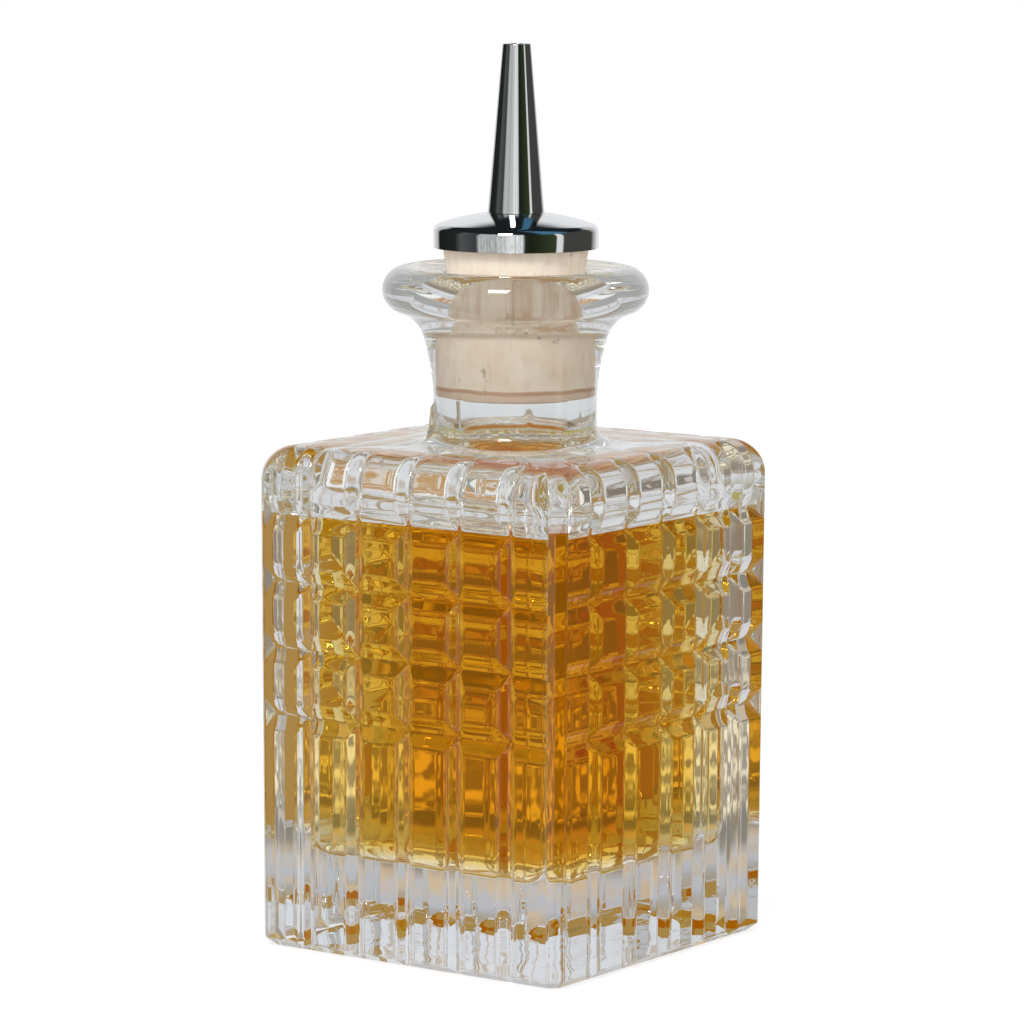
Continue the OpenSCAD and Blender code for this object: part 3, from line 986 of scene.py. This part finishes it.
class Finish:
    """The node tree of a material or of the world, wired up by plain calls."""

    def __init__(self, owner):
        owner.use_nodes = True
        self.owner = owner
        self.tree = owner.node_tree
        self.tree.nodes.clear()

    def node(self, kind, settings=None, sockets=None, out=0):
        """Adds a node, sets it up, feeds its sockets with values or wires, and gives back one output."""
        made = self.tree.nodes.new(kind)
        for name, value in (settings or {}).items():
            if name == "stops":
                set_stops(made.color_ramp, value)
            else:
                setattr(made, name, value)
        for name, value in (sockets or {}).items():
            if isinstance(value, Wire):
                self.tree.links.new(value.socket, made.inputs[name])
            else:
                made.inputs[name].default_value = value
        return Wire(self, made.outputs[out])

    def place(self, scale=1.0):
        """The point on the surface in the object's own metres, stretched along each axis."""
        point = self.node("ShaderNodeTexCoord", out="Object")
        stretch = (scale, scale, scale) if isinstance(scale, (int, float)) else scale
        return self.node("ShaderNodeMapping", sockets={"Vector": point, "Scale": stretch})

    def parts(self, vector):
        """The three numbers of a vector."""
        first = self.node("ShaderNodeSeparateXYZ", sockets={0: vector})
        return [Wire(self, socket) for socket in first.socket.node.outputs]

    def noise(self, scale, detail=4.0, roughness=0.5, stretch=(1, 1, 1)):
        """Noise over the surface, from 0 to 1."""
        sockets = {"Vector": self.place(stretch), "Scale": scale, "Detail": detail, "Roughness": roughness}
        return self.node("ShaderNodeTexNoise", sockets=sockets)

    def blend(self, factor, first, second):
        """A colour between two others."""
        sockets = {0: factor, 6: first, 7: second}
        return self.node("ShaderNodeMix", {"data_type": "RGBA"}, sockets, out=2)

    def ramp(self, value, stops):
        """A colour picked by a value."""
        return self.node("ShaderNodeValToRGB", {"stops": stops}, {0: value})

    def step(self, value, low, high):
        """0 below low and 1 above high, with a smooth change between."""
        sockets = {"Value": value, "From Min": low, "From Max": high}
        return self.node("ShaderNodeMapRange", {"interpolation_type": "SMOOTHSTEP"}, sockets)

    def span(self, value, start, end):
        """1 from start to end, and 0 outside. Each is a pair of values over which it changes."""
        return self.step(value, *start) * (1 - self.step(value, *end))

    def patches(self, scale, detail, low, high):
        """Soft patches over all directions of the world: 0 where its noise is below low, and 1 above high."""
        grain = self.node("ShaderNodeTexNoise", sockets={"Scale": scale, "Detail": detail})
        return self.step(grain, low, high)

    def light_path(self, kind):
        """What sort of light is asking, or how often it has been mirrored or bent."""
        return self.node("ShaderNodeLightPath", out=kind)

    def glass(self, colour, ior, **others):
        """A smooth Glass shader."""
        sockets = {"Color": colour, "Roughness": 0.0, "IOR": ior, **others}
        return self.node("ShaderNodeBsdfGlass", sockets=sockets)

    def glow(self, colour):
        """An Emission shader of strength 1."""
        return self.node("ShaderNodeEmission", sockets={"Color": colour, "Strength": 1.0})

    def mixed(self, factor, first, second):
        """A shader between two others."""
        return self.node("ShaderNodeMixShader", sockets={0: factor, 1: first, 2: second})

    def bump(self, height, depth):
        """A normal for small relief of this depth in metres."""
        return self.node("ShaderNodeBump", sockets={"Height": height, "Distance": depth})

    def output(self, surface, volume=None):
        """Wires the shader to the output and gives back the material or world."""
        kind = "World" if isinstance(self.owner, bpy.types.World) else "Material"
        made = self.tree.nodes.new("ShaderNodeOutput" + kind)
        self.tree.links.new(surface.socket, made.inputs["Surface"])
        if volume is not None:
            self.tree.links.new(volume.socket, made.inputs["Volume"])
        return self.owner


def set_stops(ramp, stops):
    """Gives a colour ramp these stops."""
    while len(ramp.elements) < len(stops):
        ramp.elements.new(1.0)
    for element, (place, *colour) in zip(ramp.elements, stops):
        element.position = place
        element.color = (*colour, 1)


def principled(finish, **sockets):
    """Completes a material with a Principled shader, its sockets named with underscores for spaces."""
    sockets = {name.replace("_", " "): value for name, value in sockets.items()}
    return finish.output(finish.node("ShaderNodeBsdfPrincipled", sockets=sockets))


def with_lost_light(finish, shader, colour, most_mirrored):
    """A clear shader, but light mirrored or bent too often to be followed further ends in a painted glow:
    this colour, and the soft light where it has bounced off a dull surface.
    """
    mirrored = finish.light_path("Glossy Depth") > most_mirrored
    bent = finish.light_path("Ray Depth") > MOST_BENT
    clear = finish.light_path("Transparent Depth") > MOST_CLEAR
    lost = mirrored.maths("MAXIMUM", mirrored.maths("MAXIMUM", mirrored, bent), clear)
    bounced = finish.light_path("Diffuse Depth") > 0.5
    return finish.mixed(lost, shader, finish.glow(finish.blend(bounced, colour, SOFT_LIGHT)))


def most_mirrored_in_liquid(finish):
    """How often light may be mirrored before it is given up: less at the liquid's walls than at its foot."""
    height = finish.parts(finish.place())[2] / MM
    return MOST_MIRRORED - finish.step(height, *WET_WALL) * (MOST_MIRRORED - MOST_MIRRORED_WET)


def pressed_glass():
    """Clear soda glass, a trace green, with the faint ripple of a fire-polished surface."""
    finish = Finish(bpy.data.materials.new("pressed_glass"))
    ripple = finish.bump(finish.noise(260, detail=2), depth=0.000004)
    shader = finish.glass(GLASS_TINT, GLASS_IOR, Normal=ripple)
    height = finish.parts(finish.place())[2]
    # Painted glow, by height, for light given up inside the glass
    lost = finish.ramp(height / LOST_HEIGHT, LOST_STOPS)
    return finish.output(with_lost_light(finish, shader, lost, MOST_MIRRORED))


def wetted_glass():
    """The inner wall where liquid wets it: the liquid's own surface bends the light there."""
    finish = Finish(bpy.data.materials.new("wetted_glass"))
    shader = finish.node("ShaderNodeBsdfTransparent")
    # Light given up at the wetted wall ends in a painted amber glow
    return finish.output(with_lost_light(finish, shader, LOST_AT_LIQUID, most_mirrored_in_liquid(finish)))


def amber_bitters():
    """Amber liquid. Its walls bend light as liquid in glass does, and its open surface as liquid in air."""
    finish = Finish(bpy.data.materials.new("amber_bitters"))
    wall = finish.glass(WHITE, LIQUID_IOR / GLASS_IOR)
    ripple = finish.bump(finish.noise(120, detail=1), depth=0.00002)
    surface = finish.glass(WHITE, LIQUID_IOR, Normal=ripple)
    mark = finish.node("ShaderNodeAttribute", {"attribute_name": "open_surface"}, out="Fac")
    shader = finish.mixed(mark, wall, surface)
    # Light given up in the liquid ends in a painted glow
    shader = with_lost_light(finish, shader, LOST_IN_LIQUID, most_mirrored_in_liquid(finish))
    volume = finish.node("ShaderNodeVolumeAbsorption", sockets={"Color": AMBER, "Density": AMBER_DENSITY})
    return finish.output(shader, volume)


def cork_finish():
    """Pale cork with lengthwise grain, brown flecks in its pores and a darker, damp lower end."""
    finish = Finish(bpy.data.materials.new("cork_grain"))
    grain = finish.noise(900, detail=5, roughness=0.6, stretch=(1, 1, 0.4))
    patches = finish.noise(150, detail=3)
    flecks = finish.step(finish.noise(420, detail=3, roughness=0.65, stretch=(1, 1, 0.5)), 0.62, 0.70)
    pale = finish.blend(finish.step(patches, 0.38, 0.68), CORK_PALE, CORK_WARM)
    body = finish.blend(finish.step(grain, 0.42, 0.75) * 0.28, pale, CORK_BROWN)
    body = finish.blend(flecks * 0.55, body, CORK_FLECK)
    height = finish.parts(finish.place())[2] / MM + patches * 0.8
    above_foot = height - (CORK_LOW_Z + DAMP_FROM_FOOT)
    darker = 0.4 + finish.step(above_foot, *DAMP_DARKER) * 0.5
    colour = finish.blend((1 - finish.step(above_foot, *DAMP_END)) * darker, body, CORK_DAMP)
    # A darker, blotchy band on the cork just above its seat
    blots = finish.step(finish.noise(260, detail=4, roughness=0.6), 0.44, 0.6)
    dark_band = finish.span(height - (SEAT_TOP_Z + SWELL), *DARK_BAND_HEIGHTS)
    colour = finish.blend(dark_band * (0.1 + blots * 0.7), colour, CORK_DARK_BLOTCH)
    relief = finish.bump(grain - flecks * 0.6, depth=0.00012)
    return principled(finish, Base_Color=colour, Roughness=0.72 + grain * 0.15, Normal=relief, IOR=1.4)


def chrome_finish():
    """Bright plating with hairline polishing marks and the odd finger smear."""
    finish = Finish(bpy.data.materials.new("bright_chrome"))
    lines = finish.noise(700, detail=3, stretch=(1, 1, 9))
    smear = finish.step(finish.noise(90, detail=4), 0.45, 0.8)
    return principled(
        finish,
        Base_Color=finish.blend(smear, CHROME, CHROME_DULL),
        Metallic=1.0,
        Roughness=0.035 + smear * 0.05 + lines * 0.02,
        Normal=finish.bump(lines, depth=0.000004),
    )


def steel_finish():
    """Turned stainless steel, with the fine rings that the tool leaves."""
    finish = Finish(bpy.data.materials.new("turned_steel"))
    x, y, _ = finish.parts(finish.place())
    radius = (x * x + y * y) ** 0.5
    turn = radius * (math.tau / (TOOL_PITCH * MM))
    rings = turn.maths("SINE", turn)
    dull = finish.noise(300, detail=3)
    return principled(
        finish,
        Base_Color=finish.blend(dull, STEEL, STEEL_DARK),
        Metallic=1.0,
        Roughness=0.22 + dull * 0.12,
        Normal=finish.bump(rings, depth=0.000003),
    )


def plastic_finish():
    """White moulded plastic, a little waxy."""
    finish = Finish(bpy.data.materials.new("moulded_plastic"))
    grain = finish.noise(1500, detail=3)
    return principled(
        finish,
        Base_Color=finish.blend(finish.noise(200), PLASTIC, PLASTIC_WARM),
        Roughness=0.38 + grain * 0.1,
        Normal=finish.bump(grain, depth=0.00001),
    )


def room_for_chrome(finish, turn, rise, front):
    """A dim room: a striped window in front, a strip of light, a dark ceiling and a white sheet behind."""
    panes = finish.patches(16.0, detail=3.0, low=0.35, high=0.6)
    streaks = finish.node("ShaderNodeTexNoise", {"noise_dimensions": "1D"}, {"W": turn / 9, "Detail": 2.0})
    window = finish.span(turn, *WINDOW_TURN) * (0.6 + finish.step(turn, *WINDOW_BRIGHTER) * 0.35)
    window = window * (0.75 + panes * 0.25) * (0.45 + finish.step(streaks, 0.35, 0.5) * 0.6)
    strip = finish.span(turn, *STRIP_TURN) * 0.8
    lights = (window + strip) * finish.span(rise, *WINDOW_RISE)
    room = finish.blend(lights, finish.ramp(turn / 360 + 0.5, ROOM_STOPS), WHITE)
    ceiling = finish.blend(finish.span(turn, *BLUE_TURN), CEILING, CEILING_BLUE)
    room = finish.blend(finish.step(rise, *CEILING_RISE), room, ceiling)
    return finish.blend(finish.step(front, *SHEET_BEHIND), room, SHEET)


def sky_for_glass(finish, rise, front):
    """A sky that changes with height, with warm patches low down and pale ones high up, dimmer in front."""
    sky = finish.ramp(rise / 180 + 0.5, THROUGH_STOPS)
    warm = finish.patches(6.0, detail=2.0, low=0.5, high=0.6) * finish.span(rise, *WARM_RISE)
    sky = finish.blend(warm * 0.6, sky, THROUGH_WARM)
    mottle = finish.patches(20.0, detail=3.0, low=0.48, high=0.62) * finish.step(rise, *MOTTLED_RISE)
    sky = finish.blend(mottle * 0.7, sky, THROUGH_PALE)
    return finish.blend(finish.step(front, *DIM_IN_FRONT) * 0.5, sky, THROUGH_FRONT)


def studio_world():
    """Soft white light all round, with surroundings of their own for what chrome and glass show."""
    world = bpy.data.worlds.new("soft_studio")
    bpy.context.scene.world = world
    finish = Finish(world)
    x, y, z = finish.parts(finish.node("ShaderNodeTexCoord", out="Generated"))
    front = x * TOWARDS.x + y * TOWARDS.y
    side = x * RIGHTWARDS.x + y * RIGHTWARDS.y
    turn = side.maths("ARCTAN2", side, front) * (180 / math.pi)
    rise = z.maths("ARCSINE", z) * (180 / math.pi)
    not_bounced = 1 - (finish.light_path("Diffuse Depth") > 0.5)
    mirrored = finish.light_path("Is Glossy Ray") * not_bounced
    passing = finish.light_path("Is Transmission Ray") * not_bounced
    colour = finish.blend(mirrored, SOFT_LIGHT, room_for_chrome(finish, turn, rise, front))
    colour = finish.blend(passing, colour, sky_for_glass(finish, rise, front))
    colour = finish.blend(finish.light_path("Is Camera Ray"), colour, WHITE)
    finish.output(finish.node("ShaderNodeBackground", sockets={"Color": colour, "Strength": 1.0}))


def floor():
    """A plain pale floor, white to the camera but for the bottle's soft shadow; through glass, a greyer glow
    with painted shadow and caustics.
    """
    deselect()
    below = (0, 0, -FLOOR_DROP)
    bpy.ops.mesh.primitive_circle_add(vertices=96, radius=FLOOR_R, fill_type="NGON", location=below)
    piece = named("studio_floor")
    finish = Finish(bpy.data.materials.new("pale_floor"))
    x, y, _ = finish.parts(finish.place())
    far = (x * x + y * y) ** 0.5
    # Painted caustic light: warm patches near the bottle, then glints further out
    warm = finish.step(finish.noise(48, detail=2), 0.4, 0.66) * (1 - finish.step(far, *CAUSTIC_FLOOR_END))
    seen = finish.blend(warm * 0.8, finish.ramp(far, FLOOR_SHADOW_AND_GLOW_STOPS), FLOOR_CAUSTIC_WARM)
    glint = finish.step(finish.noise(60, detail=1), 0.44, 0.64) * finish.span(far, *GLINT_FLOOR)
    seen = finish.blend(glint, seen, FLOOR_GLINT)
    plain = finish.node("ShaderNodeBsdfDiffuse", sockets={"Color": FLOOR_PALE})
    lit = finish.node("ShaderNodeAddShader", sockets={0: finish.glow(FLOOR_GLOW), 1: plain})
    shader = finish.mixed(finish.light_path("Is Camera Ray"), finish.glow(FLOOR_BOUNCE), lit)
    not_bounced = 1 - (finish.light_path("Diffuse Depth") > 0.5)
    passing = finish.light_path("Is Transmission Ray") * not_bounced
    # Glass sees the floor as a glow of its tone with the painted shadow and caustic light
    piece.data.materials.append(finish.output(finish.mixed(passing, shader, finish.glow(seen))))
    piece.visible_glossy = False


def lamp(name, turn, rise, away, size, power):
    """A square soft lamp that faces the bottle, placed by turn to the camera's right and rise, in degrees."""
    angle = math.radians(turn)
    flat = TOWARDS * math.cos(angle) + RIGHTWARDS * math.sin(angle)
    way = flat * math.cos(math.radians(rise)) + Vector((0, 0, math.sin(math.radians(rise))))
    light = bpy.data.lights.new(name, "AREA")
    light.shape = "SQUARE"
    light.size = size
    light.energy = power
    holder = bpy.data.objects.new(name, light)
    bpy.context.scene.collection.objects.link(holder)
    holder.location = Vector((0, 0, cad_high.z / 2)) + way * away
    holder.rotation_euler = way.to_track_quat("Z", "Y").to_euler()


def camera():
    """The camera, at the photograph's viewing angle."""
    back = TOWARDS * math.cos(CAMERA_ELEVATION) + Vector((0, 0, math.sin(CAMERA_ELEVATION)))
    up = back.cross(RIGHTWARDS)
    across = RIGHTWARDS * math.cos(CAMERA_ROLL) + up * math.sin(CAMERA_ROLL)
    upwards = up * math.cos(CAMERA_ROLL) - RIGHTWARDS * math.sin(CAMERA_ROLL)
    lens = bpy.data.cameras.new("photo_camera")
    lens.lens = CAMERA_LENS
    lens.clip_start = 0.01
    holder = bpy.data.objects.new("photo_camera", lens)
    bpy.context.scene.collection.objects.link(holder)
    turn = Matrix((across, upwards, back)).transposed().to_4x4()
    place = RIGHTWARDS * CAMERA_AIM.x + Vector((0, 0, CAMERA_AIM.z)) + back * CAMERA_AWAY
    holder.matrix_world = Matrix.Translation(place) @ turn
    bpy.context.scene.camera = holder


glass_look, wet_look = pressed_glass(), wetted_glass()
chrome_look, steel_look = chrome_finish(), steel_finish()
bottle = finished(bottle_glass(), "bottle", "glass", glass_look, wet_look, replaced=["glass_bottle"])
for face in bottle.data.polygons:
    if inside_cavity(face.center / MM) and face.center.z < CONTACT_Z * MM:
        face.material_index = 1
finished(liquid(), "bottle", "glass", amber_bitters(), smooth=60)
finished(cork(), "stopper", "cork", cork_finish(), smooth=60, replaced=["cork_stopper"])
finished(cap(), "stopper", "chrome", chrome_look, replaced=["cap"])
finished(spout(), "stopper", "chrome", chrome_look, replaced=["spout"])
finished(stem(), "stopper", "steel", steel_look, replaced=["stem_tube"])
finished(washer(), "stopper", "steel", steel_look, replaced=["clamp_washer"])
finished(insert(), "stopper", "insert", plastic_finish(), replaced=["dash_insert"])

studio_world()
floor()
lamp("key_lamp", turn=-17, rise=42, away=0.8, size=0.22, power=2.8)
camera()
bpy.context.scene.view_settings.view_transform = "Standard"
